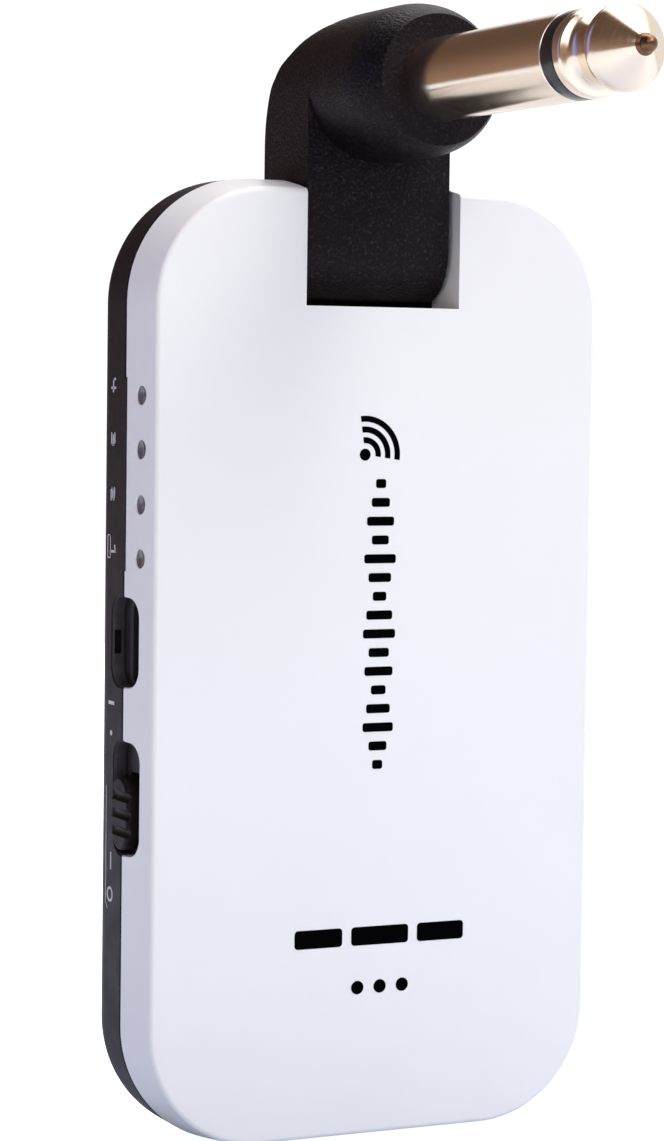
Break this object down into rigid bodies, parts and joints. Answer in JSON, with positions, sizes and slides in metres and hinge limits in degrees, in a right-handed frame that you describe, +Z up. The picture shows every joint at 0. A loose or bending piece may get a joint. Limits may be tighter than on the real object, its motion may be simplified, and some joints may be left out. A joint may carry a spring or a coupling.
{
  "type": "wireless guitar transmitter",
  "caption": "Slim plug-in wireless audio unit: a white and black rounded case that folds on a swivel arm with a gold quarter-inch jack plug.",
  "frame": {"origin": "centre of the plug's shoulder, on the plug's axis", "axes": "-Y along the plug towards its tip, +Z up away from the case, +X towards the channel button's side"},
  "size_m": [0.0407, 0.052, 0.0903],
  "materials": {
    "white_shell": "satin white moulded plastic",
    "black_shell": "fine satin black moulded plastic",
    "button_grey": "satin dark grey plastic",
    "gold_plate": "polished gold plate over brass",
    "insulator": "smooth black insulating plastic",
    "steel": "plain plated steel",
    "nylon": "natural nylon",
    "clear_guide": "clear moulded light guide",
    "circuit_board": "green solder mask over glass-fibre board",
    "chip": "black moulded chip package",
    "lamp": "pale surface-mount lamp",
    "battery_foil": "silver foil pouch",
    "foam": "black foam tape",
    "cable": "soft black cable jacket"
  },
  "bodies": {
    "plug_arm": {"arm_left_half": "black_shell", "arm_right_half": "black_shell", "hinge_tube": "steel", "hinge_clip_left": "steel", "hinge_clip_right": "steel", "plug_sleeve": "gold_plate", "plug_insulator": "insulator", "plug_tip": "gold_plate", "plug_nut": "steel", "sleeve_tag": "steel", "tip_tag": "steel", "plug_cable": "cable"},
    "case": {"front_cover": "white_shell", "back_shell": "black_shell", "side_bezel": "black_shell", "usb_tongue": "insulator", "friction_washer_left": "steel", "friction_washer_right": "steel", "case_screw_left": "steel", "case_screw_right": "steel", "board_screw_1": "steel", "board_screw_2": "steel", "usb_shell": "steel", "switch_housing": "steel", "tact_switch": "steel", "rf_shield": "steel", "hinge_bush_left": "nylon", "hinge_bush_right": "nylon", "light_guide": "clear_guide", "main_board": "circuit_board", "radio_chip": "chip", "codec_chip": "chip", "charger_chip": "chip", "chip_antenna": "chip", "status_lamp_1": "lamp", "status_lamp_2": "lamp", "status_lamp_3": "lamp", "status_lamp_4": "lamp", "battery_cell": "battery_foil", "battery_pad": "foam", "board_cable": "cable"},
    "power_switch": {"power_knob": "black_shell", "switch_slider": "insulator"},
    "channel_key": {"channel_button": "button_grey", "tact_plunger": "insulator"}
  },
  "joints": [
    {"name": "case_fold", "type": "hinge", "parent": "plug_arm", "child": "case", "pos_m": [0, 0.01455, -0.0126], "axis": [-1, 0, 0], "range_deg": [0, 90]},
    {"name": "power_slide", "type": "slide", "parent": "case", "child": "power_switch", "axis": [0, 0, 1], "range_m": [0, 0.0022]},
    {"name": "channel_press", "type": "slide", "parent": "case", "child": "channel_key", "axis": [-1, 0, 0], "range_m": [0, 0.0004], "stiffness_N_per_m": 1500, "springref_m": -0.0003}
  ]
}
